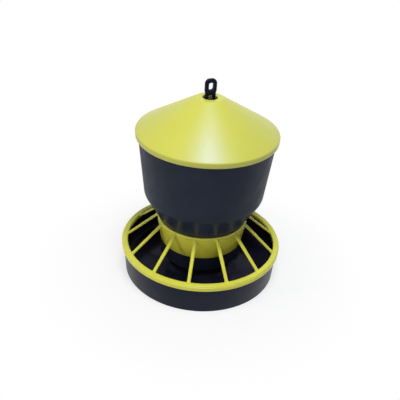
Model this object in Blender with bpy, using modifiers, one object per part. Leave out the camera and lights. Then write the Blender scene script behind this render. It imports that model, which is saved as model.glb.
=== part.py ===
"""Hanging poultry feeder: a pan with an anti-waste grill, a hopper with a lid, and a strap with an eye.

All sizes are in metres. The ground is z = 0, the feeder's axis is the z axis and its front faces -Y.
"""
import math

import bmesh
import bpy
from mathutils import Matrix, Vector

# Clearances
TOUCH_GAP = 0.0003          # between faces that rest on each other
SLOT_PLAY = 0.0004          # round the strap in the slot of the pan's boss
PIN_PLAY = 0.0003           # under a pin, where it lies in its hole

# Facets
TURN_STEPS = 64             # around a large turned piece
PIN_STEPS = 16              # around a pin
ARC_TOLERANCE = 0.00025     # how far a rounded corner's facets may leave its arc
WELD_DISTANCE = 0.00001     # between points of a mesh that are one point
SHARP_ANGLE = math.radians(32)
FLAT_ANGLE = math.radians(0.1)      # between triangles of one flat face

# Roundings that several mouldings share
EDGE_ROUNDING = 0.0008      # along a moulded rim
FOOT_ROUNDING = 0.0006      # along a skirt's lower edge and behind a pin's head

# Feed pan
PAN_FOOT_RADIUS = 0.1720    # outside, on the ground
PAN_FOOT_WIDTH = 0.0050     # flat ring that stands on the ground
PAN_NECK_RADIUS = 0.1754    # outside of the wall, just under the rim bead
PAN_BEAD_WIDTH = 0.0013     # of the rim bead, past the wall
PAN_BEAD_HEIGHT = 0.0058
PAN_HEIGHT = 0.0690
PAN_WALL = 0.0025
PAN_FLOOR_WALL = 0.0025
PAN_CORNER_RADIUS = 0.0055  # inside, between the trough and the wall
TROUGH_RADIUS = 0.1600      # where the sloping floor meets the flat trough
TROUGH_HEIGHT = 0.0095
SPREADER_RADIUS = 0.0900    # where the floor steepens towards the boss
SPREADER_HEIGHT = 0.0195
BOSS_RADIUS = 0.0420
BOSS_HEIGHT = 0.0460
BOSS_ROUNDING = 0.0040
BOSS_ROOF = 0.0040
SLOT_BLOCK_DEPTH = 0.0030   # the thickened block round the strap's slot, below the boss's roof
SLOT_BLOCK_WALL = 0.0040    # of the block past each end of the slot
SLOT_BLOCK_REACH = 0.0120   # of the block along the foot pin, each way
PAN_RIB_COUNT = 12
PAN_RIB_WIDTH = 0.0020
PAN_RIB_DEPTH = 0.0040      # below the underside of the floor

# Anti-waste grill
RING_TOP = 0.0044           # from the pan's rim to the top of the ring
RING_SKIRT = 0.0125         # height of the skirt, from the top of the ring down
RING_SKIRT_WALL = 0.0030    # of the skirt, outside the pan's bead
RING_LIP_WALL = 0.0020      # the lip inside the pan's rim
RING_LIP_DEPTH = 0.0050
RING_EDGE_WIDTH = 0.0026    # of the ring's inner edge, inside the lip
RING_EDGE_DROP = 0.0040     # inner edge of the ring, from its top down
RING_CROWN = 0.0030         # rounding of the ring's outer shoulder
RING_CROWN_INSET = 0.0008   # of the shoulder, inside the ring's widest place
RING_WIDEST_DROP = 0.0015   # of the widest place, below the rounded shoulder
RING_SKIRT_DRAFT = 0.0004   # by which the skirt narrows downwards
RING_INNER_ROUNDING = 0.0016
SNAP_BITE = 0.0009          # how far the snap bead reaches under the pan's bead
SNAP_HEIGHT = 0.0014
SPOKE_COUNT = 13
SPOKE_TURN = math.radians(-6.4)     # of the spoke nearest the front, towards +X
SPOKE_WIDTH = 0.0068
SPOKE_DEPTH = 0.0036
SPOKE_ROUNDING = 0.0014
SPOKE_SINK = 0.0008          # of a spoke's top, below the top of the ring
SPOKE_RISE_RADIUS = 0.0990  # where the top of a spoke meets the collar
SPOKE_TOP_HEIGHT = 0.1315
COLLAR_HEIGHT = 0.1356      # top of the collar's lip
COLLAR_LEDGE_HEIGHT = 0.1285
COLLAR_LEDGE_RADIUS = 0.1000
COLLAR_LIP_WALL = 0.0024
COLLAR_LIP_CHAMFER = 0.0012 # under the lip, above the ledge
COLLAR_FOOT_HEIGHT = 0.0800
COLLAR_FOOT_RADIUS = 0.0925
COLLAR_WALL = 0.0020
COLLAR_SEAT = 0.0030        # height of the cone on which the hopper sits

# Hopper
HOPPER_WALL = 0.0025
HOPPER_TOP_HEIGHT = 0.3380
HOPPER_TOP_RADIUS = 0.1442
HOPPER_WAIST_HEIGHT = 0.1970
HOPPER_WAIST_RADIUS = 0.1300
HOPPER_WAIST_ROUNDING = 0.0030
HOPPER_SEAT_RADIUS = 0.0950     # funnel radius at the height below
HOPPER_SEAT_HEIGHT = 0.1350
NECK_RADIUS = 0.0880
NECK_ROUNDING = 0.0060      # where the funnel turns into the neck
NECK_FOOT_HEIGHT = 0.0430

# Lid
LID_WALL = 0.0022
LID_SKIRT_PLAY = 0.0021     # between the hopper's rim and the inside of the skirt
LID_CREASE_FLARE = 0.0007   # of the crease, past the skirt's lower edge
LID_SKIRT_DROP = 0.0090     # from the seat on the hopper's rim down
LID_CREASE_RISE = 0.0020    # from the seat up to the crease
LID_CREASE_ROUNDING = 0.0025
LID_TOP_RADIUS = 0.0277
LID_TOP_RISE = 0.0732       # from the seat up to the flat top
LID_TOP_ROUNDING = 0.0010
LID_HOLE_RADIUS = 0.0164
LID_SPIGOT_DEPTH = 0.0050
LID_SEAT_REACH = 0.0037     # of the seat ring, inside the hopper's rim

# Hanger strap
STRAP_TURN = math.radians(22.0)     # of the strap's broad face, towards +X
STRAP_WIDTH = 0.0180
STRAP_THICKNESS = 0.0080
STRAP_ROUNDING = 0.0014
STRAP_TIP_MARGIN = 0.0060   # below the lowest hole
STRAP_TIP_ROUNDING = 0.0040
SHOULDER_WIDTH = 0.0230
SHOULDER_HEIGHT = 0.0090
SHOULDER_ROUNDING = 0.0030
EYE_WIDTH = 0.0230
EYE_ROUNDING = 0.0098
EYE_NECK_ROUNDING = 0.0060
EYE_TOP_HEIGHT = 0.4500
EYE_HOLE_WIDTH = 0.0100
EYE_HOLE_LENGTH = 0.0135
EYE_HOLE_TOP_MARGIN = 0.0095
EYE_HOLE_ROUNDING = 0.0049
EYE_FOOT_DROP = 0.0025      # of the eye's full width, below its hole
EYE_NECK_LENGTH = 0.0050    # taper from the strap out to the eye
LADDER_PITCH = 0.0140
LADDER_HEAD_MARGIN = 0.0030 # of plain strap, at the least, between the top hole and the eye
LADDER_HOLE_WIDTH = 0.0100
LADDER_HOLE_LENGTH = 0.0090
LADDER_HOLE_ROUNDING = 0.0030

# Pins
PIN_RADIUS = 0.0035
PIN_REACH = 0.0135          # of the shank past the strap's middle, each way
PIN_HEAD_RADIUS = 0.0060
PIN_HEAD_LENGTH = 0.0040
PIN_HEAD_ROUNDING = 0.0010
PIN_TIP = 0.0012

# Bridge across the hopper's mouth
BRIDGE_RAIL_WIDTH = 0.0040
BRIDGE_RAIL_HEIGHT = 0.0076
BRIDGE_SLOT_PLAY = 0.0006   # between each rail and the strap's broad face
BRIDGE_STOP_PLAY = 0.0005   # between each stop and the eye as it passes
BRIDGE_WEB = 0.0030
BRIDGE_WEB_COUNT = 4        # webs on each side, the stop beside the strap included
BRIDGE_END_LENGTH = 0.0100
NOTCH_PLAY = 0.0004
RIM_CLEARANCE = 0.0005      # the bridge's ends stay inside the hopper's outer face

# Finishes: colour and roughness of each moulding, none of them metallic
FINISHES = {
    "feed_pan": ((0.014, 0.015, 0.018, 1.0), 0.24),
    "grill": ((0.62, 0.65, 0.11, 1.0), 0.33),
    "hopper": ((0.020, 0.021, 0.026, 1.0), 0.42),
    "lid": ((0.66, 0.68, 0.135, 1.0), 0.40),
    "hanger": ((0.016, 0.018, 0.022, 1.0), 0.34),
    "bridge": ((0.018, 0.019, 0.022, 1.0), 0.40),
    "gap_pin": ((0.018, 0.019, 0.022, 1.0), 0.36),
    "foot_pin": ((0.018, 0.019, 0.022, 1.0), 0.36),
}
AXIS_MARK_SIZE = 0.02       # of the empties that show the slides


def clear_scene():
    """Remove every object of the open scene."""
    for old in list(bpy.data.objects):
        bpy.data.objects.remove(old, do_unlink=True)


def new_collection(name):
    """A fresh collection under the scene's own one."""
    collection = bpy.data.collections.new(name)
    bpy.context.scene.collection.children.link(collection)
    return collection


def plastic(name):
    """The plain moulded plastic of the named piece."""
    colour, roughness = FINISHES[name]
    material = bpy.data.materials.new(name + "_plastic")
    material.use_nodes = True
    shader = material.node_tree.nodes["Principled BSDF"]
    shader.inputs["Base Color"].default_value = colour
    shader.inputs["Roughness"].default_value = roughness
    shader.inputs["Metallic"].default_value = 0.0
    return material


def arc_steps(radius, turn):
    """Facets along an arc, so that none leaves it by more than the tolerance."""
    if radius <= ARC_TOLERANCE:
        return 1
    return max(1, math.ceil(turn / (2 * math.acos(1 - ARC_TOLERANCE / radius))))


def rounded_path(corners):
    """Points of a path given as (x, y) corners, or (x, y, radius) where a corner is rounded."""
    path = []
    last = len(corners) - 1
    for index, corner in enumerate(corners):
        point = Vector(corner[:2])
        radius = corner[2] if len(corner) > 2 else 0.0
        if radius == 0.0:
            path.append(point)
            continue
        before = Vector(corners[index - 1][:2]) - point
        after = Vector(corners[index + 1 if index < last else 0][:2]) - point
        half_angle = before.angle(after) / 2
        tangent = min(radius / math.tan(half_angle), 0.45 * before.length, 0.45 * after.length)
        radius = tangent * math.tan(half_angle)
        middle = (before.normalized() + after.normalized()).normalized()
        centre = point + middle * radius / math.sin(half_angle)
        first = point + before.normalized() * tangent - centre
        turn = first.angle_signed(point + after.normalized() * tangent - centre)
        steps = arc_steps(radius, abs(turn))
        for step in range(steps + 1):
            path.append(centre + Matrix.Rotation(-turn * step / steps, 2) @ first)
    return path


def rounded_slot(centre_height, width, length, radius):
    """Points of an upright hole with rounded corners, round the strap's middle line."""
    half = width / 2
    foot = centre_height - length / 2
    top = centre_height + length / 2
    return rounded_path([
        (half, foot, radius),
        (half, top, radius),
        (-half, top, radius),
        (-half, foot, radius),
    ])


def turned(name, path, collection, steps, closed):
    """A piece turned round the z axis from a path of (radius, height) points."""
    mesh = bpy.data.meshes.new(name)
    edges = [(index, index + 1) for index in range(len(path) - 1)]
    if closed:
        edges.append((len(path) - 1, 0))
    mesh.from_pydata([(point[0], 0.0, point[1]) for point in path], edges, [])
    piece = bpy.data.objects.new(name, mesh)
    collection.objects.link(piece)
    screw = piece.modifiers.new("Turn", 'SCREW')
    screw.axis = 'Z'
    screw.angle = math.tau
    screw.steps = steps
    screw.render_steps = steps
    screw.use_merge_vertices = True
    screw.merge_threshold = WELD_DISTANCE
    screw.use_smooth_shade = True
    return piece


def thicken(piece, wall):
    """Give a turned surface its wall, inwards."""
    solidify = piece.modifiers.new("Wall", 'SOLIDIFY')
    solidify.thickness = wall
    solidify.offset = -1.0
    solidify.use_even_offset = True


def plate(name, outlines, thickness, rounding, collection):
    """An upright plate from outlines of (x, height) points: its edge first, then its holes."""
    curve = bpy.data.curves.new(name, 'CURVE')
    curve.dimensions = '2D'
    curve.fill_mode = 'BOTH'
    curve.extrude = thickness / 2 - rounding
    curve.bevel_depth = rounding
    curve.bevel_resolution = 0
    curve.offset = -rounding
    for outline in outlines:
        spline = curve.splines.new('POLY')
        spline.points.add(len(outline) - 1)
        for point, place in zip(spline.points, outline):
            point.co = (place[0], place[1], 0.0, 1.0)
        spline.use_cyclic_u = True
    return meshed(name, curve, Matrix.Rotation(math.radians(90), 4, 'X'), collection)


def meshed(name, curve, turn, collection):
    """Make a curve a closed mesh object."""
    guide = bpy.data.objects.new(name + "_guide", curve)
    collection.objects.link(guide)
    mesh = bpy.data.meshes.new_from_object(guide.evaluated_get(bpy.context.evaluated_depsgraph_get()))
    bpy.data.objects.remove(guide, do_unlink=True)
    shape = bmesh.new()
    shape.from_mesh(mesh)
    bmesh.ops.remove_doubles(shape, verts=shape.verts, dist=WELD_DISTANCE)
    bmesh.ops.dissolve_degenerate(shape, edges=shape.edges, dist=WELD_DISTANCE)
    bmesh.ops.transform(shape, verts=shape.verts, matrix=turn)
    bmesh.ops.recalc_face_normals(shape, faces=shape.faces)
    bmesh.ops.triangulate(shape, faces=shape.faces)
    flat = [edge for edge in shape.edges
            if edge.is_manifold and edge.calc_face_angle() < FLAT_ANGLE]
    bmesh.ops.beautify_fill(shape, faces=shape.faces, edges=flat)
    shape.to_mesh(mesh)
    shape.free()
    mesh.name = name
    piece = bpy.data.objects.new(name, mesh)
    collection.objects.link(piece)
    return piece


def add_box(shape, low, high, place=None):
    """Add a box between two corners to a bmesh, then move it to its place."""
    low, high = Vector(low), Vector(high)
    size = Matrix.Diagonal((*(high - low), 1.0))
    matrix = Matrix.Translation((low + high) / 2) @ size
    if place is not None:
        matrix = place @ matrix
    return bmesh.ops.create_cube(shape, size=1.0, matrix=matrix)["verts"]


def from_bmesh(name, shape, collection):
    """Link a bmesh as a named object."""
    mesh = bpy.data.meshes.new(name)
    shape.to_mesh(mesh)
    shape.free()
    piece = bpy.data.objects.new(name, mesh)
    collection.objects.link(piece)
    return piece


def combine(piece, other, operation):
    """Join another solid to a piece, or cut it away, and leave the other as a hidden guide."""
    boolean = piece.modifiers.new(other.name, 'BOOLEAN')
    boolean.operation = operation
    boolean.solver = 'EXACT'
    boolean.object = other
    other.hide_render = True
    other.display_type = 'WIRE'


def settle(piece, collection):
    """Keep the finished mesh of a piece in its own plastic, shaded smooth up to its sharp edges."""
    bpy.context.view_layer.update()
    mesh = bpy.data.meshes.new_from_object(piece.evaluated_get(bpy.context.evaluated_depsgraph_get()))
    mesh.name = piece.name
    piece.modifiers.clear()
    piece.data = mesh
    mesh.materials.clear()
    mesh.materials.append(plastic(piece.name))
    mesh.shade_smooth()
    mesh.set_sharp_from_angle(angle=SHARP_ANGLE)
    for old in list(piece.users_collection):
        old.objects.unlink(piece)
    collection.objects.link(piece)


def pan_wall_radius(height):
    """Outer radius of the pan's flared wall at a height under the bead."""
    bead_foot = PAN_HEIGHT - PAN_BEAD_HEIGHT
    return PAN_FOOT_RADIUS + (PAN_NECK_RADIUS - PAN_FOOT_RADIUS) * height / bead_foot


def pan_bead_radius():
    """Outside of the pan's rim bead."""
    return PAN_NECK_RADIUS + PAN_BEAD_WIDTH


def channel_outer_radius():
    """Outer wall of the channel in which the grill takes the pan's rim."""
    return pan_bead_radius() + TOUCH_GAP


def channel_inner_radius():
    """Inner wall of that channel."""
    return PAN_NECK_RADIUS - PAN_WALL - TOUCH_GAP


def ring_radius():
    """The grill's outside, which is the widest place of the feeder."""
    return channel_outer_radius() + RING_SKIRT_WALL


def ring_inner_radius():
    """Inner edge of the grill's ring."""
    return channel_inner_radius() - RING_LIP_WALL - RING_EDGE_WIDTH


def boss_underside():
    """Underside of the block that the foot pin presses against."""
    return BOSS_HEIGHT - BOSS_ROOF - SLOT_BLOCK_DEPTH


def below(upper, lower, thickness):
    """How far the underside of a sloping wall lies below its top."""
    slope = (upper[1] - lower[1]) / (lower[0] - upper[0])
    return thickness * math.hypot(1.0, slope)


def make_feed_pan(parts, cutters):
    """The pan: foot ring, flared wall, rim bead, sloping floor, central boss and ribs underneath."""
    bead_foot = PAN_HEIGHT - PAN_BEAD_HEIGHT
    inner_top = PAN_NECK_RADIUS - PAN_WALL
    inner_floor = pan_wall_radius(TROUGH_HEIGHT) - PAN_WALL
    trough = (TROUGH_RADIUS, TROUGH_HEIGHT)
    spreader = (SPREADER_RADIUS, SPREADER_HEIGHT)
    boss = (BOSS_RADIUS, BOSS_HEIGHT)
    steep_drop = below(boss, spreader, PAN_FLOOR_WALL)
    floor_drop = below(spreader, trough, PAN_FLOOR_WALL)
    foot_inner = PAN_FOOT_RADIUS - PAN_FOOT_WIDTH
    path = rounded_path([
        (0.0, BOSS_HEIGHT),
        (*boss, BOSS_ROUNDING),
        spreader,
        trough,
        (inner_floor, TROUGH_HEIGHT, PAN_CORNER_RADIUS),
        (inner_top, PAN_HEIGHT, EDGE_ROUNDING),
        (pan_bead_radius(), PAN_HEIGHT, EDGE_ROUNDING),
        (pan_bead_radius(), bead_foot + EDGE_ROUNDING),
        (PAN_NECK_RADIUS, bead_foot),
        (PAN_FOOT_RADIUS, 0.0),
        (foot_inner, 0.0),
        (foot_inner, TROUGH_HEIGHT - PAN_FLOOR_WALL),
        (TROUGH_RADIUS, TROUGH_HEIGHT - PAN_FLOOR_WALL),
        (SPREADER_RADIUS, SPREADER_HEIGHT - floor_drop),
        (BOSS_RADIUS, BOSS_HEIGHT - steep_drop),
        (BOSS_RADIUS - PAN_FLOOR_WALL, BOSS_HEIGHT - BOSS_ROOF),
        (0.0, BOSS_HEIGHT - BOSS_ROOF),
    ])
    pan = turned("feed_pan", path, parts, TURN_STEPS, closed=False)
    combine(pan, pan_ribs(cutters, floor_drop), 'UNION')
    half_width = STRAP_WIDTH / 2 + SLOT_PLAY
    half_depth = STRAP_THICKNESS / 2 + SLOT_PLAY
    turn = Matrix.Rotation(STRAP_TURN, 4, 'Z')
    block = bmesh.new()
    add_box(block, (-half_width - SLOT_BLOCK_WALL, -SLOT_BLOCK_REACH, boss_underside()),
            (half_width + SLOT_BLOCK_WALL, SLOT_BLOCK_REACH, BOSS_HEIGHT - BOSS_ROOF / 2), turn)
    combine(pan, from_bmesh("slot_block", block, cutters), 'UNION')
    slot = bmesh.new()
    add_box(slot, (-half_width, -half_depth, boss_underside() - BOSS_ROOF),
            (half_width, half_depth, BOSS_HEIGHT + BOSS_ROOF), turn)
    combine(pan, from_bmesh("boss_slot", slot, cutters), 'DIFFERENCE')
    settle(pan, parts)


def pan_ribs(cutters, floor_drop):
    """Radial ribs that stiffen the sloping floor from below."""
    run = TROUGH_RADIUS - SPREADER_RADIUS
    fall = SPREADER_HEIGHT - TROUGH_HEIGHT
    length = math.hypot(run, fall)
    sink = floor_drop / 2
    shape = bmesh.new()
    for index in range(PAN_RIB_COUNT):
        turn = Matrix.Rotation(math.tau * (index + 0.5) / PAN_RIB_COUNT, 4, 'Z')
        start = Matrix.Translation((SPREADER_RADIUS, 0.0, SPREADER_HEIGHT - floor_drop))
        slope = Matrix.Rotation(math.atan2(fall, run), 4, 'Y')
        add_box(shape, (0.0, -PAN_RIB_WIDTH / 2, -PAN_RIB_DEPTH), (length, PAN_RIB_WIDTH / 2, sink),
                turn @ start @ slope)
    return from_bmesh("pan_ribs", shape, cutters)


def make_grill(parts, cutters):
    """The grill: a ring over the pan's rim, the spokes, and a collar round the hopper's neck."""
    top = PAN_HEIGHT + RING_TOP
    roof = PAN_HEIGHT + TOUCH_GAP
    skirt_foot = top - RING_SKIRT
    outer, inner = ring_radius(), ring_inner_radius()
    channel_outer, channel_inner = channel_outer_radius(), channel_inner_radius()
    lip_inner = channel_inner - RING_LIP_WALL
    lip_foot = PAN_HEIGHT - RING_LIP_DEPTH
    snap_radius = channel_outer - SNAP_BITE
    snap_top = PAN_HEIGHT - PAN_BEAD_HEIGHT - TOUCH_GAP
    edge_foot = top - RING_EDGE_DROP
    path = rounded_path([
        (inner, top, RING_INNER_ROUNDING),
        (outer - RING_CROWN_INSET, top, RING_CROWN),
        (outer, top - RING_CROWN - RING_WIDEST_DROP),
        (outer - RING_SKIRT_DRAFT, skirt_foot, FOOT_ROUNDING),
        (snap_radius, skirt_foot),
        (snap_radius, snap_top - SNAP_HEIGHT / 2),
        (channel_outer, snap_top),
        (channel_outer, roof),
        (channel_inner, roof),
        (channel_inner, lip_foot),
        (lip_inner, lip_foot),
        (lip_inner, edge_foot),
        (inner, edge_foot),
    ])
    grill = turned("grill", path, parts, TURN_STEPS, closed=True)
    combine(grill, spokes(cutters, top), 'UNION')
    combine(grill, collar(cutters), 'UNION')
    settle(grill, parts)


def spokes(cutters, ring_top):
    """The straight spokes that fall from the collar to the ring."""
    run = ring_inner_radius() - SPOKE_RISE_RADIUS
    fall = SPOKE_TOP_HEIGHT - ring_top + SPOKE_SINK
    slope = math.atan2(fall, run)
    inner_overrun = COLLAR_WALL / 2 / math.cos(slope)
    outer_overrun = (RING_EDGE_WIDTH + RING_LIP_WALL / 2) / math.cos(slope)
    length = math.hypot(run, fall)
    shape = bmesh.new()
    for index in range(SPOKE_COUNT):
        bearing = SPOKE_TURN + math.tau * index / SPOKE_COUNT
        turn = Matrix.Rotation(bearing - math.pi / 2, 4, 'Z')
        start = Matrix.Translation((SPOKE_RISE_RADIUS, 0.0, SPOKE_TOP_HEIGHT))
        place = turn @ start @ Matrix.Rotation(slope, 4, 'Y')
        corners = add_box(shape, (-inner_overrun, -SPOKE_WIDTH / 2, -SPOKE_DEPTH),
                          (length + outer_overrun, SPOKE_WIDTH / 2, 0.0))
        along = [edge for edge in shape.edges if all(vert in corners for vert in edge.verts)
                 and all(vert.co.z > -SPOKE_DEPTH / 2 for vert in edge.verts)
                 and abs(edge.verts[0].co.x - edge.verts[1].co.x) > length / 2]
        rounded = bmesh.ops.bevel(shape, geom=along, offset=SPOKE_ROUNDING, segments=2, profile=0.5,
                                  affect='EDGES', material=-1)
        bar = set(corners) | set(rounded["verts"])
        bmesh.ops.transform(shape, verts=[vert for vert in bar if vert.is_valid], matrix=place)
    return from_bmesh("spokes", shape, cutters)


def funnel_slope():
    """Radius gained for each metre of height on the hopper's funnel."""
    rise = HOPPER_WAIST_HEIGHT - HOPPER_SEAT_HEIGHT
    return (HOPPER_WAIST_RADIUS - HOPPER_SEAT_RADIUS) / rise


def seat_radius(height):
    """Radius of the collar's seat cone, which lies a touch gap outside the hopper's funnel."""
    slope = funnel_slope()
    return HOPPER_SEAT_RADIUS + (height - HOPPER_SEAT_HEIGHT) * slope + TOUCH_GAP * math.hypot(1.0, slope)


def collar(cutters):
    """The funnel-shaped collar, whose lip carries the hopper."""
    seat_foot = COLLAR_HEIGHT - COLLAR_SEAT
    lip_outer = seat_radius(COLLAR_HEIGHT) + COLLAR_LIP_WALL
    wall_slope = (COLLAR_LEDGE_RADIUS - COLLAR_FOOT_RADIUS) / (COLLAR_LEDGE_HEIGHT - COLLAR_FOOT_HEIGHT)
    inside = COLLAR_WALL * math.hypot(1.0, wall_slope)
    path = rounded_path([
        (seat_radius(COLLAR_HEIGHT), COLLAR_HEIGHT),
        (lip_outer, COLLAR_HEIGHT, EDGE_ROUNDING),
        (lip_outer, COLLAR_LEDGE_HEIGHT + COLLAR_LIP_CHAMFER),
        (COLLAR_LEDGE_RADIUS, COLLAR_LEDGE_HEIGHT),
        (COLLAR_FOOT_RADIUS, COLLAR_FOOT_HEIGHT),
        (COLLAR_FOOT_RADIUS - inside, COLLAR_FOOT_HEIGHT),
        (COLLAR_LEDGE_RADIUS - inside, COLLAR_LEDGE_HEIGHT),
        (seat_radius(seat_foot), seat_foot),
    ])
    return turned("collar", path, cutters, TURN_STEPS, closed=True)


def make_hopper(parts, cutters):
    """The hopper: tapered body, funnel and neck, with two notches in its rim for the bridge."""
    neck_top = HOPPER_SEAT_HEIGHT - (HOPPER_SEAT_RADIUS - NECK_RADIUS) / funnel_slope()
    base = NECK_FOOT_HEIGHT
    path = rounded_path([
        (HOPPER_TOP_RADIUS, HOPPER_TOP_HEIGHT - base),
        (HOPPER_WAIST_RADIUS, HOPPER_WAIST_HEIGHT - base, HOPPER_WAIST_ROUNDING),
        (NECK_RADIUS, neck_top - base, NECK_ROUNDING),
        (NECK_RADIUS, 0.0),
    ])
    hopper = turned("hopper", path, parts, TURN_STEPS, closed=False)
    thicken(hopper, HOPPER_WALL)
    notches = bmesh.new()
    half_width = bridge_half_width() + NOTCH_PLAY
    bed = bridge_foot_height() - TOUCH_GAP - base
    above = HOPPER_TOP_HEIGHT + HOPPER_WALL - base
    reach = HOPPER_TOP_RADIUS + HOPPER_WALL
    add_box(notches, (-reach, -half_width, bed), (reach, half_width, above))
    combine(hopper, from_bmesh("rim_notches", notches, cutters), 'DIFFERENCE')
    settle(hopper, parts)
    return hopper


def make_lid(parts, cutters):
    """The lid: skirt, cone, flat top and the spigot round its hole, with a seat ring inside."""
    skirt_radius = HOPPER_TOP_RADIUS + LID_SKIRT_PLAY + LID_WALL
    crease_radius = skirt_radius + LID_CREASE_FLARE
    seat_inner = HOPPER_TOP_RADIUS - LID_SEAT_REACH
    path = rounded_path([
        (LID_HOLE_RADIUS, LID_TOP_RISE - LID_SPIGOT_DEPTH),
        (LID_HOLE_RADIUS, LID_TOP_RISE, EDGE_ROUNDING),
        (LID_TOP_RADIUS, LID_TOP_RISE, LID_TOP_ROUNDING),
        (crease_radius, LID_CREASE_RISE, LID_CREASE_ROUNDING),
        (skirt_radius, -LID_SKIRT_DROP),
    ])
    lid = turned("lid", path, parts, TURN_STEPS, closed=False)
    thicken(lid, LID_WALL)
    cone_slope = (LID_TOP_RISE - LID_CREASE_RISE) / (crease_radius - LID_TOP_RADIUS)
    seat_outer = skirt_radius - LID_WALL / 2
    outer_rise = LID_CREASE_RISE - LID_WALL / 2
    inner_rise = outer_rise + (crease_radius - seat_inner) * cone_slope
    seat = turned("seat_ring", [
        (seat_inner, inner_rise),
        (seat_outer, outer_rise),
        (seat_outer, 0.0),
        (seat_inner, 0.0),
    ], cutters, TURN_STEPS, closed=True)
    combine(lid, seat, 'UNION')
    settle(lid, parts)
    return lid


def pin_height_under(surface):
    """Height of a pin's axis that lies just under a surface."""
    return surface - TOUCH_GAP - PIN_RADIUS


def hole_height_round(pin_height):
    """Middle height of a strap hole whose lower edge carries a pin."""
    return pin_height - PIN_RADIUS - PIN_PLAY + LADDER_HOLE_LENGTH / 2


def ladder_hole_count(foot, ceiling):
    """How many holes fit up the strap, the first with its middle at the foot."""
    last = ceiling - LADDER_HEAD_MARGIN - LADDER_HOLE_LENGTH / 2
    return 1 + math.floor((last - foot) / LADDER_PITCH)


def bridge_foot_height():
    """Underside of the bridge where it lies in the hopper's notches."""
    return HOPPER_TOP_HEIGHT - BRIDGE_RAIL_HEIGHT - TOUCH_GAP


def make_hanger(parts):
    """The strap: shoulders over the pan's boss, a row of pin holes, and the eye."""
    base = BOSS_HEIGHT + TOUCH_GAP
    foot_hole = hole_height_round(pin_height_under(boss_underside())) - base
    ladder_foot = hole_height_round(pin_height_under(bridge_foot_height())) - base
    tip = foot_hole - LADDER_HOLE_LENGTH / 2 - STRAP_TIP_MARGIN
    eye_top = EYE_TOP_HEIGHT - base
    eye_hole_top = eye_top - EYE_HOLE_TOP_MARGIN
    eye_foot = eye_hole_top - EYE_HOLE_LENGTH - EYE_FOOT_DROP
    count = ladder_hole_count(ladder_foot, eye_foot - EYE_NECK_LENGTH)
    ladder = [ladder_foot + LADDER_PITCH * index for index in range(count)]
    right_side = [
        (STRAP_WIDTH / 2, tip, STRAP_TIP_ROUNDING),
        (STRAP_WIDTH / 2, 0.0),
        (SHOULDER_WIDTH / 2, 0.0),
        (SHOULDER_WIDTH / 2, SHOULDER_HEIGHT, SHOULDER_ROUNDING),
        (STRAP_WIDTH / 2, SHOULDER_HEIGHT + EYE_NECK_LENGTH, SHOULDER_ROUNDING),
        *((STRAP_WIDTH / 2, height - LADDER_PITCH / 2) for height in ladder),
        (STRAP_WIDTH / 2, eye_foot - EYE_NECK_LENGTH, EYE_NECK_ROUNDING),
        (EYE_WIDTH / 2, eye_foot, EYE_NECK_ROUNDING),
        (EYE_WIDTH / 2, eye_top, EYE_ROUNDING),
    ]
    left_side = [(-corner[0], *corner[1:]) for corner in reversed(right_side)]
    outlines = [rounded_path(right_side + left_side)]
    eye_middle = eye_hole_top - EYE_HOLE_LENGTH / 2
    outlines.append(rounded_slot(eye_middle, EYE_HOLE_WIDTH, EYE_HOLE_LENGTH, EYE_HOLE_ROUNDING))
    for height in [foot_hole] + ladder:
        outlines.append(rounded_slot(height, LADDER_HOLE_WIDTH, LADDER_HOLE_LENGTH, LADDER_HOLE_ROUNDING))
    hanger = plate("hanger", outlines, STRAP_THICKNESS, STRAP_ROUNDING, parts)
    hanger.location = (0.0, 0.0, base)
    hanger.rotation_euler = (0.0, 0.0, STRAP_TURN)
    settle(hanger, parts)


def bridge_slot_half():
    """Half the width between the bridge's rails."""
    return STRAP_THICKNESS / 2 + BRIDGE_SLOT_PLAY


def bridge_half_width():
    """Half the bridge's width over both rails."""
    return bridge_slot_half() + BRIDGE_RAIL_WIDTH


def make_bridge(parts, cutters):
    """The crossbar: two rails joined by webs and by the blocks that lie in the hopper's notches."""
    end = math.sqrt((HOPPER_TOP_RADIUS - RIM_CLEARANCE) ** 2 - bridge_half_width() ** 2)
    stop = max(EYE_WIDTH, SHOULDER_WIDTH) / 2 + BRIDGE_STOP_PLAY
    shape = bmesh.new()
    add_box(shape, (-end, -bridge_half_width(), 0.0), (end, bridge_half_width(), BRIDGE_RAIL_HEIGHT))
    bridge = from_bmesh("bridge", shape, parts)
    pockets = bmesh.new()
    pitch = (end - BRIDGE_END_LENGTH - stop) / BRIDGE_WEB_COUNT
    half = bridge_slot_half()
    over = BRIDGE_RAIL_HEIGHT
    add_box(pockets, (-stop, -half, -over), (stop, half, 2 * over))
    for side in (-1, 1):
        for index in range(BRIDGE_WEB_COUNT):
            start = side * (stop + BRIDGE_WEB + pitch * index)
            finish = side * (stop + pitch * (index + 1))
            add_box(pockets, (min(start, finish), -half, -over), (max(start, finish), half, 2 * over))
    combine(bridge, from_bmesh("bridge_pockets", pockets, cutters), 'DIFFERENCE')
    settle(bridge, parts)
    return bridge


def make_pin(name, parts):
    """A round pin with a head, its axis along y, its head towards -Y."""
    path = rounded_path([
        (0.0, PIN_REACH + PIN_HEAD_LENGTH),
        (PIN_HEAD_RADIUS, PIN_REACH + PIN_HEAD_LENGTH, PIN_HEAD_ROUNDING),
        (PIN_HEAD_RADIUS, PIN_REACH, FOOT_ROUNDING),
        (PIN_RADIUS, PIN_REACH),
        (PIN_RADIUS, -PIN_REACH + PIN_TIP),
        (PIN_RADIUS - PIN_TIP, -PIN_REACH),
        (0.0, -PIN_REACH),
    ])
    pin = turned(name, path, parts, PIN_STEPS, closed=False)
    settle(pin, parts)
    pin.data.transform(Matrix.Rotation(math.radians(90), 4, 'X'))
    return pin


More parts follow.
